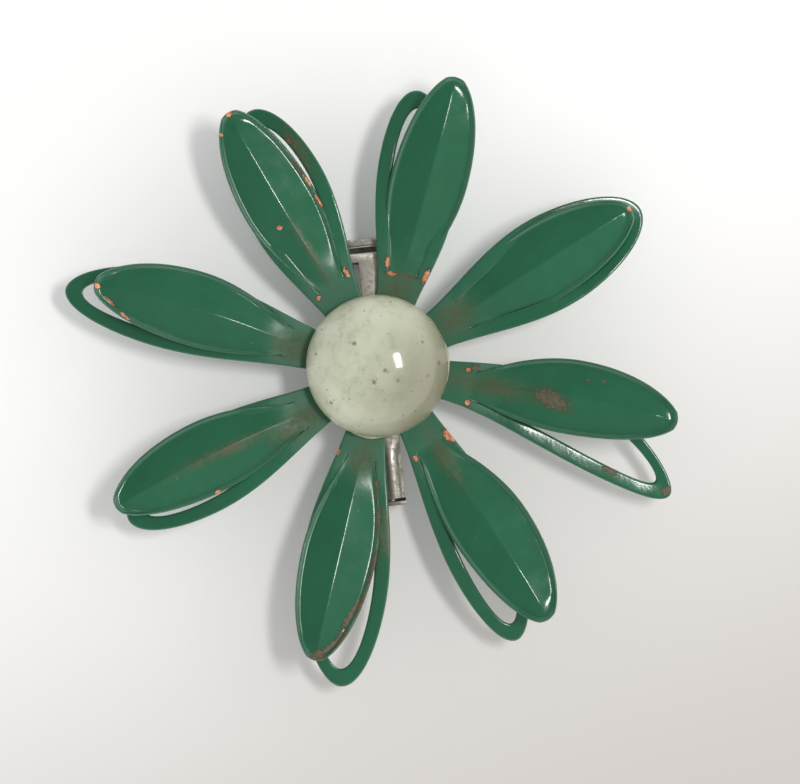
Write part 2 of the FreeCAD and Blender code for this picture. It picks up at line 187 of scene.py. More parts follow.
class Sheet:
    """Grows a bent sheet from rows of points. Each notes how near a rim it lies and if it is on a blade."""

    def __init__(self):
        self.mesh = bmesh.new()
        self.rim = self.mesh.verts.layers.float.new("rim")
        self.blade = self.mesh.verts.layers.float.new("blade")

    def point(self, u, v, z, rim=0.0, blade=0.0):
        vert = self.mesh.verts.new((u, v, z))
        vert[self.rim] = rim
        vert[self.blade] = blade
        return vert

    def strip(self, first, second):
        """Faces between two rows of the same length."""
        for a, b, c, d in zip(first, first[1:], second[1:], second):
            corners = list(dict.fromkeys((a, d, c, b)))
            if len(corners) > 2:
                self.mesh.faces.new(corners)

    def thicken(self):
        """Adds the lower face and the edges. Under a turned-up rim the edge leans outwards."""
        upper, faces = list(self.mesh.verts), list(self.mesh.faces)
        edges = [edge for edge in self.mesh.edges if edge.is_boundary]
        outward = {vert: Vector() for vert in upper}
        for edge in edges:
            along = edge.verts[1].co - edge.verts[0].co
            across = Vector((along.y, -along.x, 0.0)).normalized()
            if across.dot(edge.link_faces[0].calc_center_median() - edge.verts[0].co) > 0:
                across.negate()
            for vert in edge.verts:
                outward[vert] += across
        lower = {}
        for vert in upper:
            lean = EDGE_LEAN * vert[self.rim] * vert[self.blade] * ease((vert.co.x - SLIT_START) / RIM_START)
            shift = outward[vert].normalized() * lean
            lower[vert] = self.point(vert.co.x + shift.x, vert.co.y + shift.y, vert.co.z - COAT,
                                     vert[self.rim], vert[self.blade])
        for face in faces:
            self.mesh.faces.new([lower[vert] for vert in reversed(face.verts)])
        for edge in edges:
            first, second = edge.verts
            self.mesh.faces.new((first, second, lower[second], lower[first]))


class Petal:
    """Measures of one petal in its own millimetres: u runs outwards from the hub's axis, v to the left."""

    def __init__(self, index):
        self.index = index
        self.blade, self.loop = PETALS[index]
        self.slit_height = neck_height(SLIT_START)

    def loop_share(self, u):
        return (u - HUB_RADIUS) / (self.loop.reach - HUB_RADIUS)

    def loop_centre(self, u):
        return side_shift(self.loop_share(u), self.loop.middle_shift, self.loop.tip_shift)

    def loop_half(self, u):
        neck = NECK_WIDTH / self.loop.width
        return self.loop.width / 2 * fullness(self.loop_share(u), neck, LOOP_LEAF)

    def loop_height(self, u, v):
        t = (u - SLIT_START) / (self.loop.reach - SLIT_START)
        level = rise(t, self.slit_height, self.loop.tip_height, self.loop.arch)
        return level + LOOP_DENT * dent(u, v, self.index)


def neck(sheet, petal):
    """Rows from edge to edge. Returns the last in three parts: right strip, blade's root and left strip."""
    inner_share = (SLIT_HALF + SLIT_GAP) / petal.loop_half(SLIT_START)
    root_share = SLIT_HALF / petal.loop_half(SLIT_START)
    rims = [ease(1 - column * 2) for column in LOOP_COLUMNS]
    previous = None
    for u in NECK_ROWS + (SLIT_START,):
        half, centre = petal.loop_half(max(u, HUB_RADIUS)), petal.loop_centre(max(u, HUB_RADIUS))
        height = neck_height(u)
        row = []
        for side in (-1, 1):
            shares = [side * (1 + (inner_share - 1) * column) for column in LOOP_COLUMNS]
            strip = [sheet.point(u, centre + half * share, height, rim) for share, rim in zip(shares, rims)]
            if side < 0:
                row += strip
                row += [sheet.point(u, centre + half * root_share * share, height) for share in BLADE_COLUMNS]
            else:
                row += strip[::-1]
        if previous:
            sheet.strip(previous, row)
        previous = row
    width = len(LOOP_COLUMNS)
    return previous[:width], previous[width:-width], previous[-width:][::-1]


def open_loop(sheet, petal, right_root, left_root):
    """Strip that runs out along the right of the opening, round the tip and back along the left."""
    loop = petal.loop
    inner_reach = loop.reach - LOOP_END_STRIP
    inner_width = loop.width - 2 * LOOP_STRIP
    inner_root = min(0.95, 2 * (SLIT_HALF + SLIT_GAP) / inner_width)
    stations = [math.sin(math.pi / 2 * step / LOOP_STEPS) for step in range(1, LOOP_STEPS + 1)]
    path = [(t, -1) for t in stations] + [(t, 1) for t in stations[-2::-1]]
    previous = right_root
    for t, side in path:
        outer_u = SLIT_START + (loop.reach - SLIT_START) * t
        inner_u = SLIT_START + (inner_reach - SLIT_START) * t
        outer_v = petal.loop_centre(outer_u) + side * petal.loop_half(outer_u)
        inner_v = petal.loop_centre(inner_u) + side * inner_width / 2 * fullness(t, inner_root, LOOP_LEAF)
        row = []
        for column in LOOP_COLUMNS:
            u = outer_u + (inner_u - outer_u) * column
            v = outer_v + (inner_v - outer_v) * column
            crown = STRIP_CROWN * (4 * column * (1 - column)) * ease(t * 8)
            bank = STRIP_BANK[petal.index] * (1 - column) * ease(t * 3)
            height = petal.loop_height(u, v) + crown + bank
            row.append(sheet.point(u, v, height, ease(1 - column * 2)))
        sheet.strip(previous, row)
        previous = row
    sheet.strip(previous, left_root)


def blade_relief(share, half, to_tip, past_root):
    """Height of a blade's face over its mean level, and how near the rim the place is."""
    from_edge = min(half * (1 - abs(share)), to_tip)
    rim = ease(1 - from_edge / GROOVE_INSET)
    full = max(0.0, half - GROOVE_INSET)
    roof = max(0.0, full - abs(share) * half) - ROOF_SINK * full * ease(past_root / SINK_START)
    height = ROOF_SLOPE * roof * ease(past_root / ROOF_START) * ease(to_tip / ROOF_END)
    return height + RIM * rim * ease(past_root / RIM_START), rim


def raised_blade(sheet, petal, root):
    """Rows across, from the slits' ends to the tip, bowing more and more towards the round tip."""
    blade = petal.blade
    length = blade.reach - SLIT_START
    root_centre = petal.loop_centre(SLIT_START)
    root_share = 2 * SLIT_HALF / blade.width
    last = 1 - TIP_ROOM * TIP_ARC / length
    tip_half = blade.width / 2 * fullness(last, root_share, BLADE_LEAF)
    previous = root
    for step in range(1, BLADE_STEPS + 1):
        t = last * (1 - (1 - step / BLADE_STEPS) ** 1.5)
        centre = side_shift(t, blade.middle_shift, blade.tip_shift) + root_centre * (1 - t) ** 2
        half = blade.width / 2 * fullness(t, root_share, BLADE_LEAF)
        bow = TIP_ARC * ease((t / last - BOW_START) / (1 - BOW_START))
        level = rise(t, petal.slit_height, blade.tip_height, blade.arch)
        row = []
        for share in BLADE_COLUMNS:
            u = SLIT_START + length * t + bow * (1 - share * share)
            v = centre + share * half
            outline = SLIT_START + length * last
            outline += TIP_ARC * (1 - min(1.0, (share * half / tip_half) ** 2))
            relief, rim = blade_relief(share, half, outline - u, u - SLIT_START)
            height = level + relief + BLADE_DENT * dent(u, v, petal.index + 20)
            row.append(sheet.point(u, v, height, rim, 1.0))
        sheet.strip(previous, row)
        previous = row


def petal_sheet(index):
    """One petal's sheet: neck, open loop and raised blade."""
    petal = Petal(index)
    sheet = Sheet()
    right_root, blade_root, left_root = neck(sheet, petal)
    open_loop(sheet, petal, right_root, left_root)
    raised_blade(sheet, petal, blade_root)
    sheet.thicken()
    return sheet.mesh


def finish_mesh(name, source, modifiers):
    """An object from mesh data, with its modifiers applied."""
    obj = bpy.data.objects.new(name, source)
    bpy.context.scene.collection.objects.link(obj)
    for kind, values in modifiers:
        modifier = obj.modifiers.new(kind.title(), kind)
        for key, value in values.items():
            setattr(modifier, key, value)
    bpy.context.view_layer.update()
    graph = bpy.context.evaluated_depsgraph_get()
    result = bpy.data.meshes.new_from_object(obj.evaluated_get(graph), preserve_all_data_layers=True,
                                             depsgraph=graph)
    result.name = name
    obj.modifiers.clear()
    obj.data = result
    result.polygons.foreach_set("use_smooth", [True] * len(result.polygons))
    return obj


def paint_wear(mesh, number):
    """Writes how near each vertex is to the petal's worn places, one field for each kind: 1 on a border."""
    points = np.zeros(len(mesh.vertices) * 3)
    mesh.vertices.foreach_get("co", points)
    points = points.reshape(-1, 3)
    for kind in ("bare", "rust", "stain"):
        field = np.zeros(len(points))
        for what, along, side, half_length, half_width, turn in WEAR[number]:
            if what != kind:
                continue
            angle = math.radians(turn)
            du, dv = points[:, 0] - along, points[:, 1] - side
            a = (du * math.cos(angle) + dv * math.sin(angle)) / half_length
            b = (dv * math.cos(angle) - du * math.sin(angle)) / half_width
            field = np.maximum(field, 2.0 - np.sqrt(a * a + b * b))
        layer = mesh.attributes.new(kind, "FLOAT", "POINT")
        layer.data.foreach_set("value", field.astype(np.float32))


def enamelled_petal(index, material):
    """One petal as a coated sheet with rounded edges, turned to its place."""
    number = index + 1
    data = bpy.data.meshes.new(f"petal_{number}")
    build = petal_sheet(index)
    bmesh.ops.recalc_face_normals(build, faces=build.faces)
    build.to_mesh(data)
    build.free()
    petal = finish_mesh(f"petal_{number}", data, (("SUBSURF", {"levels": 2, "render_levels": 2}),))
    paint_wear(petal.data, number)
    turn = Matrix.Rotation(math.radians(FIRST_PETAL + index * 360 / PETAL_COUNT), 4, "Z")
    petal.data.transform(Matrix.Scale(MM, 4) @ turn)
    petal.data.materials.append(material)
    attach(petal, "flower")
    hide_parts(f"petal_frame_{number}", f"petal_blade_{number}")
    return petal


# Centre of the flower

GIRDLE = 0.45           # height of the cabochon's upright edge
CAP_STEPS = 40
CAP_POWER = 0.96        # under 1 makes the cap a little fuller than an ellipse
GLUE_SHIFT = 0.12       # how far the glue has crept to one side


def lathe(name, profile, segments, centre, ripple=None):
    """Turned solid from (radius, height) points, bottom centre to top centre, in millimetres."""
    build = bmesh.new()
    rings = []
    for radius, height in profile:
        if radius < 1e-6:
            rings.append([build.verts.new((centre[0], centre[1], height))])
            continue
        ring = []
        for step in range(segments):
            angle = 2 * math.pi * step / segments
            grown = radius + (ripple(angle, radius) if ripple else 0.0)
            ring.append(build.verts.new((centre[0] + grown * math.cos(angle),
                                         centre[1] + grown * math.sin(angle), height)))
        rings.append(ring)
    for low, high in zip(rings, rings[1:]):
        for step in range(segments):
            after = (step + 1) % segments
            corners = [low[step % len(low)], low[after % len(low)],
                       high[after % len(high)], high[step % len(high)]]
            build.faces.new(list(dict.fromkeys(corners)))
    bmesh.ops.recalc_face_normals(build, faces=build.faces)
    bmesh.ops.scale(build, verts=build.verts, vec=(MM, MM, MM))
    return smooth_object(name, build)


def smooth_object(name, build):
    """An object from finished bmesh data, in metres, shaded smooth."""
    data = bpy.data.meshes.new(name)
    build.to_mesh(data)
    build.free()
    data.polygons.foreach_set("use_smooth", [True] * len(data.polygons))
    obj = bpy.data.objects.new(name, data)
    bpy.context.scene.collection.objects.link(obj)
    return obj


def domed_centre(material):
    """Moulded cabochon: flat back, short girdle with softened corners, rounded cap."""
    low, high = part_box("dome")
    centre = ((low.x + high.x) / 2 / MM, (low.y + high.y) / 2 / MM)
    radius = (high.x - low.x) / 2 / MM
    base, crown = low.z / MM, high.z / MM
    girdle = base + GIRDLE
    profile = [(0.0, base), (radius * 0.6, base), (radius - 0.35, base), (radius - 0.12, base + 0.06),
               (radius - 0.02, base + 0.18), (radius, girdle)]
    for step in range(1, CAP_STEPS):
        angle = math.pi / 2 * step / CAP_STEPS
        profile.append((radius * math.cos(angle) ** CAP_POWER,
                        girdle + (crown - girdle) * math.sin(angle) ** CAP_POWER))
    profile.append((0.0, crown))
    dome = lathe("domed_centre", profile, 128, centre)
    dome.data.materials.append(material)
    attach(dome, "flower")
    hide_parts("dome")
    return dome


def glue_bead(material):
    """Glue under the cabochon, squeezed out unevenly round its edge."""
    low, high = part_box("dome_adhesive")
    dome_low, dome_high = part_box("dome")
    centre = ((dome_low.x + dome_high.x) / 2 / MM + GLUE_SHIFT,
              (dome_low.y + dome_high.y) / 2 / MM - GLUE_SHIFT)
    bottom, top = low.z / MM, high.z / MM
    edge = (dome_high.x - dome_low.x) / 2 / MM

    def squeeze(angle, radius):
        if radius < edge - 1.5:
            return 0.0
        slow = 0.14 * math.sin(3 * angle + 0.8) + 0.09 * math.sin(7 * angle + 2.1)
        return slow + 0.05 * math.sin(13 * angle)

    profile = [(0.0, bottom + 0.02), (edge - 2.0, bottom + 0.02), (edge - 0.5, bottom + 0.08),
               (edge - 0.2, bottom + 0.2), (edge - 0.1, top - 0.08), (edge - 0.3, top + 0.06),
               (edge - 1.6, top - 0.02), (0.0, top - 0.02)]
    bead = lathe("glue_bead", profile, 96, centre, squeeze)
    bead.data.materials.append(material)
    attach(bead, "flower")
    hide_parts("dome_adhesive")
    return bead


# Clip

WIRE = 0.21             # radius of the spring's wire
WIRE_SIDES = 12
SPRING_TURNS = 3
COIL_STEPS = 120
LEG = 7.0
LEG_STEPS = 12
LEG_LEAN = math.radians(8.0)


def eased_metal(node, name, edge, material, body):
    """A CAD piece with its sharp corners broken, as tumbled and plated metal has them."""
    build = bmesh.new()
    build.from_mesh(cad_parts[node].data)
    bmesh.ops.remove_doubles(build, verts=build.verts, dist=0.002 * MM)
    bmesh.ops.dissolve_limit(build, angle_limit=math.radians(2), verts=build.verts, edges=build.edges)
    data = bpy.data.meshes.new(name)
    build.to_mesh(data)
    build.free()
    piece = finish_mesh(name, data, (
        ("BEVEL", {"width": edge * MM, "segments": 3, "limit_method": "ANGLE",
                   "angle_limit": math.radians(32), "harden_normals": False}),
    ))
    piece.data.materials.clear()
    piece.data.materials.append(material)
    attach(piece, body)
    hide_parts(node)
    return piece


def round_wire(name, path):
    """Round wire along a path in millimetres, closed by a flat cut at each end."""
    build = bmesh.new()
    across = Vector((1, 0, 0))
    rings = []
    for index, point in enumerate(path):
        ahead = path[min(index + 1, len(path) - 1)] - path[max(index - 1, 0)]
        ahead.normalize()
        across = (across - ahead * across.dot(ahead)).normalized()
        other = ahead.cross(across)
        ring = []
        for side in range(WIRE_SIDES):
            angle = 2 * math.pi * side / WIRE_SIDES
            spot = point + across * (WIRE * math.cos(angle)) + other * (WIRE * math.sin(angle))
            ring.append(build.verts.new(spot * MM))
        rings.append(ring)
    for low, high in zip(rings, rings[1:]):
        for side in range(WIRE_SIDES):
            after = (side + 1) % WIRE_SIDES
            build.faces.new((low[side], low[after], high[after], high[side]))
    build.faces.new(rings[0][::-1])
    build.faces.new(rings[-1])
    wire = smooth_object(name, build)
    wire.data.polygons.foreach_set("use_smooth", [len(face.vertices) == 4 for face in wire.data.polygons])
    return wire


def coil_spring(material):
    """Wound wire: coil round the pin and a leg along each arm."""
    low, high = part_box("torsion_spring")
    pin_low, pin_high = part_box("hinge_pin")
    axis_y, axis_z = (pin_low.y + pin_high.y) / 2 / MM, (pin_low.z + pin_high.z) / 2 / MM
    radius = axis_y - low.y / MM - WIRE
    half = (high.x - low.x) / 2 / MM - WIRE
    start = math.pi / 2 + LEG_LEAN
    end = 3 * math.pi / 2 - LEG_LEAN + SPRING_TURNS * 2 * math.pi
    path = []
    for step in range(LEG_STEPS, 0, -1):
        reach = LEG * step / LEG_STEPS
        path.append((-half, axis_y + radius * math.cos(start) + reach * math.cos(LEG_LEAN),
                     axis_z + radius * math.sin(start) + reach * math.sin(LEG_LEAN)))
    for step in range(COIL_STEPS + 1):
        angle = start + (end - start) * step / COIL_STEPS
        path.append((-half + 2 * half * step / COIL_STEPS, axis_y + radius * math.cos(angle),
                     axis_z + radius * math.sin(angle)))
    for step in range(1, LEG_STEPS + 1):
        reach = LEG * step / LEG_STEPS
        path.append((half, axis_y + radius * math.cos(end) + reach * math.cos(LEG_LEAN),
                     axis_z + radius * math.sin(end) - reach * math.sin(LEG_LEAN)))
    spring = round_wire("coil_spring", [Vector(point) for point in path])
    spring.data.materials.append(material)
    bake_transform(spring)
    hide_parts("torsion_spring")
    return spring


# Material effects

class Tree:
    """Adds nodes to a node tree and wires them. A value that is a socket is linked, any other is set."""

    def __init__(self, tree):
        self.tree = tree

    def join(self, value, socket):
        if isinstance(value, bpy.types.NodeSocket):
            self.tree.links.new(value, socket)
        else:
            socket.default_value = value

    def add(self, kind, inputs=None, **settings):
        node = self.tree.nodes.new(kind)
        for key, value in settings.items():
            setattr(node, key, value)
        for key, value in (inputs or {}).items():
            self.join(value, node.inputs[key])
        return node

    def math(self, operation, *values, clamp=False):
        inputs = dict(enumerate(values))
        return self.add("ShaderNodeMath", inputs, operation=operation, use_clamp=clamp).outputs[0]

    def plus(self, first, second, clamp=False):
        return self.math("ADD", first, second, clamp=clamp)

    def minus(self, first, second):
        return self.math("SUBTRACT", first, second)

    def times(self, first, second, clamp=False):
        return self.math("MULTIPLY", first, second, clamp=clamp)

    def fade(self, value, low, high, to_low=0.0, to_high=1.0):
        """Smooth step of a value from low..high to to_low..to_high."""
        return self.add("ShaderNodeMapRange", {"Value": value, "From Min": low, "From Max": high,
                                               "To Min": to_low, "To Max": to_high},
                        interpolation_type="SMOOTHSTEP").outputs["Result"]

    def blend(self, share, first, second):
        """Colour between two colours. Inputs 6 and 7 and output 2 are the mixer's colour sockets."""
        return self.add("ShaderNodeMix", {0: share, 6: first, 7: second}, data_type="RGBA").outputs[2]

    def attribute(self, name):
        return self.add("ShaderNodeAttribute", attribute_name=name).outputs["Fac"]

    def place(self):
        """Object coordinates in metres."""
        return self.add("ShaderNodeTexCoord").outputs["Object"]

    def scaled(self, vector, scale):
        return self.add("ShaderNodeMapping", {"Vector": vector, "Scale": scale}).outputs["Vector"]

    def millimetres(self):
        """Object coordinates in millimetres."""
        return self.scaled(self.place(), (1 / MM, 1 / MM, 1 / MM))

    def along(self, vector, direction):
        """How far a vector lies along a direction."""
        return self.add("ShaderNodeVectorMath", {0: vector, 1: direction},
                        operation="DOT_PRODUCT").outputs["Value"]

    def cloud(self, vector, scale, detail, roughness=0.5, seed=None):
        """Noise from 0 to 1. A seed picks one of many such clouds."""
        inputs = {"Vector": vector, "Scale": scale, "Detail": detail, "Roughness": roughness}
        if seed is None:
            return self.add("ShaderNodeTexNoise", inputs).outputs["Fac"]
        inputs["W"] = seed
        return self.add("ShaderNodeTexNoise", inputs, noise_dimensions="4D").outputs["Fac"]

    def bump(self, height, strength):
        """Normal of a surface with a height given in millimetres."""
        inputs = {"Height": height, "Strength": strength, "Distance": MM}
        return self.add("ShaderNodeBump", inputs).outputs["Normal"]


def effect(name, inputs, outputs=("Mask",)):
    """Empty node group with named sockets. Gives its tree, and the sockets of its inputs and its outputs."""
    group = bpy.data.node_groups.new(name, "ShaderNodeTree")
    for label, value in inputs.items():
        group.interface.new_socket(label, in_out="INPUT", socket_type="NodeSocketFloat").default_value = value
    for label in outputs:
        group.interface.new_socket(label, in_out="OUTPUT", socket_type="NodeSocketFloat")
    tree = Tree(group)
    return tree, tree.add("NodeGroupInput").outputs, tree.add("NodeGroupOutput").inputs


def patches():
    """Cloudy patches of a given size. Outputs a mask that is 1 inside the patches."""
    tree, given, made = effect("Patches", {"Size": 3.0, "Cover": 0.5, "Softness": 0.1, "Seed": 0.0})
    scale = tree.math("DIVIDE", 1.0, given["Size"])
    cloud = tree.cloud(tree.millimetres(), scale, 5.0, 0.6, given["Seed"])
    middle = tree.minus(0.75, tree.times(given["Cover"], 0.5))
    low = tree.minus(middle, given["Softness"])
    high = tree.plus(middle, given["Softness"])
    tree.join(tree.fade(cloud, low, high), made["Mask"])
    return tree.tree


def worn_place():
    """Ragged edge for a worn place that a field on the surface marks: 1 at its border, above 1 inside."""
    tree, given, made = effect("Worn place", {"Field": 0.0, "Ragged": 0.5, "Grain": 0.3}, ("Mask", "Border"))
    grain = tree.cloud(tree.millimetres(), tree.math("DIVIDE", 1.0, given["Grain"]), 3.0, 0.65)
    shift = tree.times(tree.minus(grain, 0.5), given["Ragged"])
    depth = tree.plus(given["Field"], tree.times(shift, 2.0))
    tree.join(tree.fade(depth, 0.98, 1.12), made["Mask"])
    near = tree.fade(depth, 0.55, 1.0)
    away = tree.fade(depth, 1.0, 1.25, 1.0, 0.0)
    tree.join(tree.times(near, away), made["Border"])
    return tree.tree


def hairlines():
    """Hairline scratches in a few directions. Outputs a mask that is 1 in a scratch."""
    tree, given, made = effect("Hairlines", {"Spacing": 4.0, "Cover": 0.5})
    scale = tree.math("DIVIDE", 0.35, given["Spacing"])
    low = tree.minus(0.78, tree.times(given["Cover"], 0.12))
    high = tree.plus(low, 0.03)
    scratched = 0.0
    for turn, stretch in ((0.4, 18.0), (1.9, 24.0), (2.7, 15.0)):
        turned = tree.add("ShaderNodeMapping", {"Vector": tree.place(), "Rotation": (0.0, 0.0, turn),
                                                "Scale": (1 / MM, stretch / MM, 1 / MM)}).outputs["Vector"]
        line = tree.cloud(turned, scale, 2.0)
        scratched = tree.math("MAXIMUM", scratched, tree.fade(line, low, high))
    tree.join(scratched, made["Mask"])
    return tree.tree


def specks():
    """Scattered dots. Outputs a mask that is 1 in a dot."""
    tree, given, made = effect("Specks", {"Spacing": 2.0, "Dot": 0.12, "Share": 0.4})
    where = tree.millimetres()
    ragged = tree.add("ShaderNodeTexNoise", {"Vector": where, "Scale": 5.0, "Detail": 2.0}).outputs["Color"]
    moved = tree.add("ShaderNodeVectorMath", {0: ragged, 1: (0.25, 0.25, 0.25), 2: where},
                     operation="MULTIPLY_ADD").outputs["Vector"]
    scale = tree.math("DIVIDE", 1.0, given["Spacing"])
    cells = tree.add("ShaderNodeTexVoronoi", {"Vector": moved, "Scale": scale}).outputs
    pick = tree.add("ShaderNodeSeparateColor", {"Color": cells["Color"]}).outputs
    size = tree.times(given["Dot"], tree.plus(0.4, pick["Green"]))
    dot = tree.fade(cells["Distance"], size, tree.times(size, 0.35))
    kept = tree.math("LESS_THAN", pick["Red"], given["Share"])
    tree.join(tree.times(dot, kept), made["Mask"])
    return tree.tree


def uneven_coat():
    """Slow and fine unevenness of a dipped or moulded surface, as a height from 0 to 1."""
    tree, given, made = effect("Uneven coat", {"Wave": 4.0, "Fine": 0.5}, ("Height",))
    slow = tree.cloud(tree.millimetres(), tree.math("DIVIDE", 1.0, given["Wave"]), 1.0)
    fine = tree.cloud(tree.millimetres(), tree.math("DIVIDE", 1.0, given["Fine"]), 2.0)
    tree.join(tree.plus(tree.times(slow, 0.8), tree.times(fine, 0.2)), made["Height"])
    return tree.tree


PATCHES = patches()
WORN_PLACE = worn_place()
HAIRLINES = hairlines()
SPECKS = specks()
UNEVEN_COAT = uneven_coat()


# Materials

DEEP_GREEN = (0.010, 0.098, 0.045, 1)
LIGHT_GREEN = (0.012, 0.118, 0.055, 1)
DULL_GREEN = (0.014, 0.070, 0.032, 1)
RIM_GREEN = (0.006, 0.060, 0.034, 1)
OLIVE_TARNISH = (0.075, 0.062, 0.020, 1)
DARK_RUST = (0.050, 0.024, 0.012, 1)
RED_RUST = (0.17, 0.070, 0.036, 1)
RUST_BORDER = (0.045, 0.045, 0.018, 1)
DARK_COPPER = (0.42, 0.15, 0.07, 1)
BRIGHT_COPPER = (0.80, 0.42, 0.23, 1)
CHIP_BORDER = (0.012, 0.020, 0.012, 1)
PALE_DUST = (0.30, 0.36, 0.28, 1)

MILK_GREY = (0.545, 0.565, 0.440, 1)
MILK_PALE = (0.59, 0.61, 0.475, 1)
FOOT_GRIME = (0.22, 0.22, 0.09, 1)
# colour of the painted shade on one side of the cabochon
SHADED_MILK = (0.150, 0.135, 0.085, 1)
SMUDGE = (0.22, 0.24, 0.14, 1)
DARK_SPECK = (0.10, 0.095, 0.06, 1)

# Plating of each kind: bright and dull colour, roughness from bright to dull, tarnish
WORN_NICKEL = ((0.50, 0.48, 0.43, 1), (0.31, 0.295, 0.25, 1), 0.26, 0.42, (0.12, 0.09, 0.055, 1))
# The lower arm's plating is painted darker, as painted shade where it lies under the upper arm.
PAINTED_SHADE_NICKEL = ((0.27, 0.26, 0.23, 1), (0.16, 0.15, 0.13, 1), 0.34, 0.5, (0.07, 0.05, 0.03, 1))
SPRING_STEEL = ((0.45, 0.44, 0.42, 1), (0.30, 0.29, 0.27, 1), 0.28, 0.40, (0.12, 0.08, 0.05, 1))
RIVET_BRASS = ((0.60, 0.46, 0.24, 1), (0.40, 0.29, 0.15, 1), 0.28, 0.45, (0.10, 0.07, 0.03, 1))
PIT = (0.03, 0.025, 0.02, 1)

DARK_GLUE = (0.30, 0.29, 0.16, 1)
PALE_GLUE = (0.46, 0.45, 0.30, 1)


def new_material(name):
    """A material, its tree and its shader's sockets."""
    material = bpy.data.materials.new(name)
    material.use_nodes = True
    return material, Tree(material.node_tree), material.node_tree.nodes["Principled BSDF"].inputs


def placed(tree, group, **values):
    """Places an effect in a material with its own values, and gives its outputs."""
    node = tree.add("ShaderNodeGroup", None, node_tree=group)
    for key, value in values.items():
        tree.join(value, node.inputs[key])
    return node.outputs


def clouded(tree, size, cover, softness, seed):
    return placed(tree, PATCHES, Size=size, Cover=cover, Softness=softness, Seed=seed)["Mask"]


def green_enamel():
    """Dipped green enamel over copper-coloured sheet: glossy, tarnished at the roots, chipped to metal."""
    material, tree, shader = new_material("green_enamel")
    colour = tree.blend(clouded(tree, 9.0, 0.5, 0.25, 1.0), DEEP_GREEN, LIGHT_GREEN)
    colour = tree.blend(tree.times(clouded(tree, 0.8, 0.45, 0.2, 6.0), 0.22), colour, DULL_GREEN)
    colour = tree.blend(tree.times(tree.attribute("rim"), 0.15), colour, RIM_GREEN)

    dirt = clouded(tree, 0.7, 0.5, 0.16, 4.0)
    stain = tree.fade(tree.attribute("stain"), 0.3, 2.0)
    stained = tree.times(stain, tree.plus(0.22, tree.times(dirt, 0.63)))
    colour = tree.blend(stained, colour, OLIVE_TARNISH)

    rust = placed(tree, WORN_PLACE, Field=tree.attribute("rust"), Ragged=1.3, Grain=0.45)
    rust_tone = clouded(tree, 0.4, 0.5, 0.15, 7.0)
    rusted = tree.times(rust["Mask"], tree.plus(0.45, tree.times(rust_tone, 0.4)))
    colour = tree.blend(tree.times(rust["Border"], 0.55), colour, RUST_BORDER)
    colour = tree.blend(rusted, colour, tree.blend(rust_tone, DARK_RUST, RED_RUST))

    bare = placed(tree, WORN_PLACE, Field=tree.attribute("bare"), Ragged=1.1, Grain=0.32)
    copper = tree.blend(clouded(tree, 0.5, 0.5, 0.2, 9.0), DARK_COPPER, BRIGHT_COPPER)
    colour = tree.blend(tree.times(bare["Border"], 0.8), colour, CHIP_BORDER)
    colour = tree.blend(bare["Mask"], colour, copper)

    dust = placed(tree, SPECKS, Spacing=1.6, Dot=0.05, Share=0.25)["Mask"]
    colour = tree.blend(tree.times(dust, 0.35), colour, PALE_DUST)
    tree.join(colour, shader["Base Color"])
    tree.join(tree.times(bare["Mask"], 0.75), shader["Metallic"])

    worn = tree.math("MAXIMUM", rust["Mask"], bare["Mask"], clamp=True)
    hairs = placed(tree, HAIRLINES, Spacing=5.0, Cover=0.3)["Mask"]
    gloss = tree.fade(clouded(tree, 2.2, 0.5, 0.2, 2.0), 0.0, 1.0, 0.12, 0.19)
    flattened = tree.scaled(tree.place(), (1 / MM, 1 / MM, 0.0))
    from_axis = tree.add("ShaderNodeVectorMath", {0: flattened}, operation="LENGTH").outputs["Value"]
    rough = tree.plus(gloss, tree.times(hairs, 0.05))
    rough = tree.plus(rough, tree.times(stained, 0.45))
    rough = tree.plus(rough, tree.fade(from_axis, 12.0, 18.0, 0.26, 0.0))
    rough = tree.plus(rough, tree.times(worn, 0.35), clamp=True)
    tree.join(rough, shader["Roughness"])

    coat = placed(tree, UNEVEN_COAT, Wave=3.5, Fine=0.45)["Height"]
    height = tree.minus(tree.times(coat, 0.10), tree.times(worn, 0.12))
    height = tree.minus(height, tree.times(hairs, 0.002))
    height = tree.plus(height, tree.times(dust, 0.02))
    tree.join(tree.bump(height, 0.6), shader["Normal"])
    shader["IOR"].default_value = 1.52
    return material


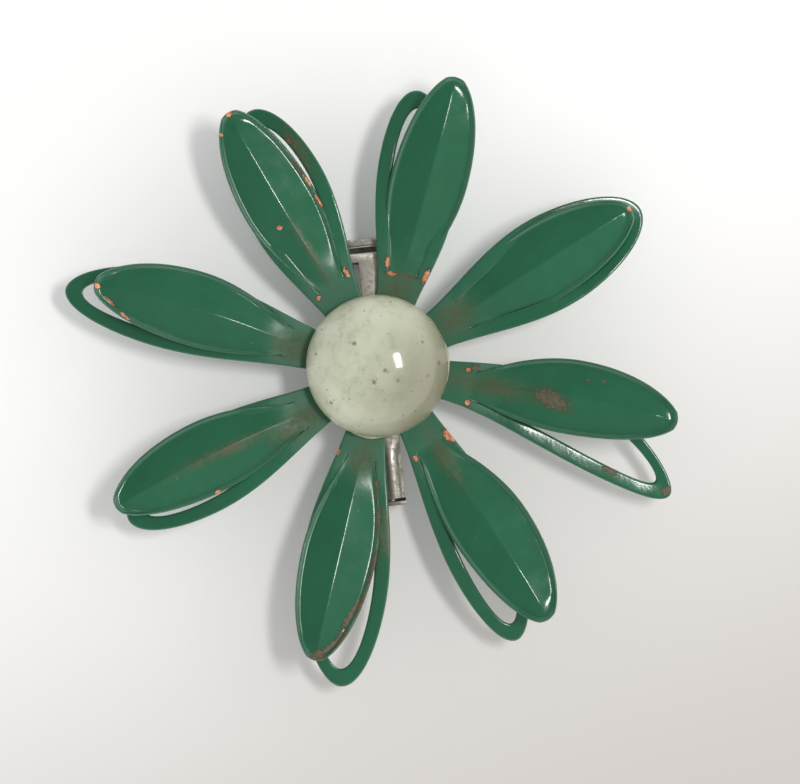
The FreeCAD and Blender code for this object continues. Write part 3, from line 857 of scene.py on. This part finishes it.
def milky_plastic():
    """Aged milky plastic of the cabochon: translucent, speckled, finely scratched, grimy at its foot, with
    painted shade that darkens one side.
    """
    material, tree, shader = new_material("milky_plastic")
    colour = tree.blend(clouded(tree, 4.0, 0.5, 0.3, 3.0), MILK_GREY, MILK_PALE)

    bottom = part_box("dome")[0].z
    height = tree.add("ShaderNodeSeparateXYZ", {"Vector": tree.place()}).outputs["Z"]
    foot = tree.fade(height, bottom, bottom + 3.6 * MM, 1.0, 0.0)
    grime = clouded(tree, 1.1, 0.6, 0.2, 5.0)
    grimy = tree.times(foot, tree.plus(0.35, tree.times(grime, 0.45)), clamp=True)
    colour = tree.blend(grimy, colour, FOOT_GRIME)

    # Painted shade: the cabochon's colour darkens towards one side.
    shaded_side = tree.fade(tree.along(tree.place(), (0.85 / MM, -0.53 / MM, 0.0)), -4.5, 9.2)
    colour = tree.blend(tree.times(shaded_side, 0.90), colour, SHADED_MILK)

    smear = clouded(tree, 2.6, 0.44, 0.12, 21.0)
    smudge = clouded(tree, 0.8, 0.42, 0.12, 23.0)
    smudged = tree.times(smear, tree.plus(0.25, tree.times(smudge, 0.5)))
    colour = tree.blend(tree.times(smudged, 0.5), colour, SMUDGE)

    large = placed(tree, SPECKS, Spacing=1.7, Dot=0.20, Share=0.6)["Mask"]
    small = placed(tree, SPECKS, Spacing=0.7, Dot=0.22, Share=0.35)["Mask"]
    marks = tree.plus(tree.times(large, 0.70), tree.times(small, 0.45), clamp=True)
    colour = tree.blend(marks, colour, DARK_SPECK)
    tree.join(colour, shader["Base Color"])

    hairs = placed(tree, HAIRLINES, Spacing=3.0, Cover=0.8)["Mask"]
    rough = tree.plus(0.10, tree.times(hairs, 0.12))
    rough = tree.plus(rough, tree.times(foot, 0.25), clamp=True)
    tree.join(rough, shader["Roughness"])

    coat = placed(tree, UNEVEN_COAT, Wave=5.0, Fine=0.6)["Height"]
    relief = tree.minus(tree.times(coat, 0.05), tree.times(hairs, 0.006))
    relief = tree.minus(relief, tree.times(large, 0.02))
    tree.join(tree.bump(relief, 0.5), shader["Normal"])
    shader["Subsurface Weight"].default_value = 0.35
    shader["Subsurface Radius"].default_value = (1.0, 0.95, 0.7)
    shader["Subsurface Scale"].default_value = 0.0012
    shader["IOR"].default_value = 1.49
    return material


def plated_metal(name, bright, dull, rough_bright, rough_dull, tarnish):
    """Worn plating: clouded shine, brown tarnish, pits and hairline scratches."""
    material, tree, shader = new_material(name)
    cloud = clouded(tree, 1.6, 0.5, 0.2, 11.0)
    spots = clouded(tree, 0.5, 0.35, 0.12, 13.0)
    pits = placed(tree, SPECKS, Spacing=0.8, Dot=0.12, Share=0.3)["Mask"]
    hairs = placed(tree, HAIRLINES, Spacing=1.5, Cover=1.0)["Mask"]

    colour = tree.blend(cloud, bright, dull)
    colour = tree.blend(tree.times(spots, 0.7), colour, tarnish)
    colour = tree.blend(tree.times(pits, 0.7), colour, PIT)
    tree.join(colour, shader["Base Color"])
    tree.join(tree.minus(0.95, tree.times(spots, 0.45)), shader["Metallic"])

    rough = tree.fade(cloud, 0.0, 1.0, rough_bright, rough_dull)
    rough = tree.plus(rough, tree.times(tree.plus(spots, hairs), 0.15), clamp=True)
    tree.join(rough, shader["Roughness"])

    coat = placed(tree, UNEVEN_COAT, Wave=1.5, Fine=0.25)["Height"]
    relief = tree.minus(tree.times(coat, 0.04), tree.times(pits, 0.03))
    relief = tree.minus(relief, tree.times(hairs, 0.006))
    tree.join(tree.bump(relief, 0.6), shader["Normal"])
    return material


def old_glue():
    """Yellowed, dusty glue."""
    material, tree, shader = new_material("old_glue")
    cloud = clouded(tree, 0.8, 0.5, 0.2, 17.0)
    tree.join(tree.blend(cloud, DARK_GLUE, PALE_GLUE), shader["Base Color"])
    tree.join(tree.fade(cloud, 0.0, 1.0, 0.35, 0.6), shader["Roughness"])
    coat = placed(tree, UNEVEN_COAT, Wave=0.8, Fine=0.2)["Height"]
    tree.join(tree.bump(tree.times(coat, 0.15), 0.7), shader["Normal"])
    return material


# Table, light and camera

VIEW_TURN = math.radians(-6.0)          # how far the clip leans from upright, seen from the camera
VIEW_CENTRE = Vector((2.08, -3.52))     # millimetres, in the frame
VIEW_WIDTH = 100.8                      # millimetres across, at the petals' height
VIEW_LEVEL = 8.0
CAMERA_DISTANCE = 360.0
SENSOR = 36.0
TABLE_HALF = 3.0                        # metres
TABLE_WHITE = (0.94, 0.94, 0.935, 1)
# grey of the painted shade on the table
TABLE_SHADE_GREY = (0.56, 0.53, 0.505, 1)
ROOM_DIM = 1.05                         # light from the two sides of the room
ROOM_BRIGHT = 1.95
ROOM_OVERHEAD = 0.27                    # share of that light left overhead


def across_view(right, up):
    """A direction given along the camera's right and up, in the frame."""
    return Matrix.Rotation(VIEW_TURN, 2) @ Vector((right, up))


def from_view(right, up, height):
    """A place given along the camera's right and up from the middle of its view, in the frame, in metres."""
    turned = across_view(right, up)
    return Vector(((VIEW_CENTRE.x + turned.x) * MM, (VIEW_CENTRE.y + turned.y) * MM, height * MM))


def set_camera():
    data = bpy.data.cameras.new("camera")
    data.sensor_width = SENSOR
    data.lens = SENSOR * CAMERA_DISTANCE / VIEW_WIDTH
    data.clip_start = 0.01
    camera = bpy.data.objects.new("camera", data)
    bpy.context.scene.collection.objects.link(camera)
    camera.location = from_view(0, 0, VIEW_LEVEL + CAMERA_DISTANCE)
    camera.rotation_euler = (0, 0, VIEW_TURN)
    bpy.context.scene.camera = camera


def soft_light(name, right, up, height, width, depth, power, colour):
    """Rectangular soft light, aimed at the flower."""
    data = bpy.data.lights.new(name, "AREA")
    data.shape = "RECTANGLE"
    data.size = width * MM
    data.size_y = depth * MM
    data.energy = power
    data.color = colour
    lamp = bpy.data.objects.new(name, data)
    bpy.context.scene.collection.objects.link(lamp)
    lamp.location = from_view(right, up, height)
    aim = Vector((0, 0, VIEW_LEVEL * MM)) - lamp.location
    lamp.rotation_euler = aim.to_track_quat("-Z", "Y").to_euler()


def set_table(material):
    data = bpy.data.meshes.new("table")
    corners = [(x * TABLE_HALF, y * TABLE_HALF, 0) for x, y in ((-1, -1), (1, -1), (1, 1), (-1, 1))]
    data.from_pydata(corners, [], [(0, 1, 2, 3)])
    table = bpy.data.objects.new("table", data)
    bpy.context.scene.collection.objects.link(table)
    data.materials.append(material)


def table_paint():
    """White table, with painted shade that greys it towards the near edge of the view and a little to the
    right.
    """
    material, tree, shader = new_material("table_paint")
    darker = across_view(0.45, -0.89)
    # Painted shade: the table's colour greys along this direction, in place of light falling off.
    shade = tree.fade(tree.along(tree.place(), (darker.x / MM, darker.y / MM, 0.0)), -25.0, 75.0)
    tree.join(tree.blend(shade, TABLE_WHITE, TABLE_SHADE_GREY), shader["Base Color"])
    shader["Roughness"].default_value = 0.6
    return material


def set_world():
    """Plain room: dim overhead, brighter lower down and towards one side."""
    world = bpy.data.worlds.new("room")
    bpy.context.scene.world = world
    world.use_nodes = True
    tree = Tree(world.node_tree)
    ground = world.node_tree.nodes["Background"].inputs
    ground["Color"].default_value = (1.0, 1.0, 1.0, 1)
    way = tree.add("ShaderNodeTexCoord").outputs["Generated"]
    height = tree.add("ShaderNodeSeparateXYZ", {"Vector": way}).outputs["Z"]
    overhead = tree.fade(height, 0.45, 0.74, 1.0, ROOM_OVERHEAD)
    bright = across_view(0.8, -0.6)
    glow = tree.fade(tree.along(way, (bright.x, bright.y, 0.0)), -0.8, 0.8, ROOM_DIM, ROOM_BRIGHT)
    tree.join(tree.times(overhead, glow), ground["Strength"])


# Making

enamel = green_enamel()
for petal_index in range(PETAL_COUNT):
    enamelled_petal(petal_index, enamel)
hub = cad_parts["flower_hub"]
hub.data.materials.clear()
hub.data.materials.append(enamel)

domed_centre(milky_plastic())
glue_bead(old_glue())
nickel = plated_metal("worn_nickel", *WORN_NICKEL)
painted_shade_nickel = plated_metal("painted_shade_nickel", *PAINTED_SHADE_NICKEL)
steel = plated_metal("spring_steel", *SPRING_STEEL)
brass = plated_metal("rivet_brass", *RIVET_BRASS)
eased_metal("clip_upper_arm", "upper_arm", 0.10, nickel, "flower")
# The lower arm's darker plating is painted shade.
eased_metal("clip_lower_arm", "lower_arm", 0.10, painted_shade_nickel, "lower_jaw")
eased_metal("hinge_pin", "headed_pin", 0.08, nickel, "flower")
eased_metal("rivet", "flower_rivet", 0.12, brass, "flower")
coil_spring(steel)

set_table(table_paint())
set_world()
soft_light("window", 176.0, 52.0, 440.0, 125.0, 58.0, 0.85, (1.0, 0.985, 0.96))
bpy.context.scene.view_settings.view_transform = "Standard"
set_camera()
